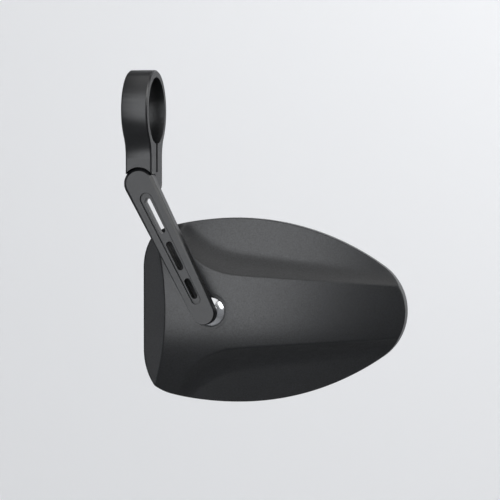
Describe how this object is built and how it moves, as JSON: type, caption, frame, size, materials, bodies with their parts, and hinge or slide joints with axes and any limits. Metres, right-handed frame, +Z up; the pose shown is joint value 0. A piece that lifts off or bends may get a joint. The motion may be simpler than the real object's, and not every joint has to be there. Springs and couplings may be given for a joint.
{
  "type": "handlebar mirror",
  "caption": "Clamp-on handlebar mirror: a split ring clamp, a slotted swing arm and a teardrop head with two coves on a polished ball joint.",
  "frame": {"origin": "centre of the clamp's bore, halfway along its width", "axes": "+X along the handlebar through the clamp, +Y from the arm through the head towards the rider, +Z up"},
  "size_m": [0.092, 0.0355, 0.1129],
  "materials": {
    "black_anodised": "fine bead-blasted black anodising",
    "black_head": "matt black anodising with a very fine grain",
    "black_steel": "black oxide",
    "plain_steel": "bright zinc",
    "spring_steel": "plain spring steel",
    "bronze": "sintered bronze",
    "friction_plastic": "dry acetal",
    "polished_chrome": "mirror polished",
    "liner_plastic": "black nylon",
    "cup_plastic": "natural acetal",
    "carrier_plastic": "black moulded plastic",
    "foam_pad": "grey adhesive pad",
    "seal_rubber": "matt black rubber",
    "mirror_glass": "clear glass silvered on its back"
  },
  "bodies": {
    "clamp": {"clamp_body": "black_anodised", "clamp_screw": "black_steel", "clamp_washer": "plain_steel", "pivot_bushing": "bronze", "friction_disc": "friction_plastic"},
    "arm": {"arm": "black_anodised", "pivot_screw": "black_steel", "pivot_spring": "spring_steel", "stud_washer": "plain_steel", "ball_stud": "polished_chrome"},
    "liner": {"front_liner": "liner_plastic", "rear_liner": "liner_plastic"},
    "cup": {"rear_cup": "cup_plastic", "cup_spring": "spring_steel"},
    "head": {"retainer_plate": "plain_steel", "retainer_screws": "plain_steel", "housing_shell": "black_head", "glass_carrier": "carrier_plastic", "carrier_screws": "plain_steel", "glass_pad": "foam_pad", "rim_seal": "seal_rubber", "mirror_glass": "mirror_glass"}
  },
  "joints": [
    {"name": "arm_swing", "type": "hinge", "parent": "clamp", "child": "arm", "pos_m": [0, 0, -0.0245], "axis": [0, 1, 0], "range_deg": [-25, 78]},
    {"name": "head_pan", "type": "hinge", "parent": "arm", "child": "liner", "pos_m": [0.02206, 0.00683, -0.0678], "axis": [0, 0, 1], "range_deg": [-12, 12]},
    {"name": "head_tilt", "type": "hinge", "parent": "liner", "child": "cup", "pos_m": [0.02206, 0.00683, -0.0678], "axis": [1, 0, 0], "range_deg": [-12, 12]},
    {"name": "head_roll", "type": "hinge", "parent": "cup", "child": "head", "pos_m": [0.02206, 0.00683, -0.0678], "axis": [0, 1, 0], "range_deg": [-50, 180]}
  ]
}
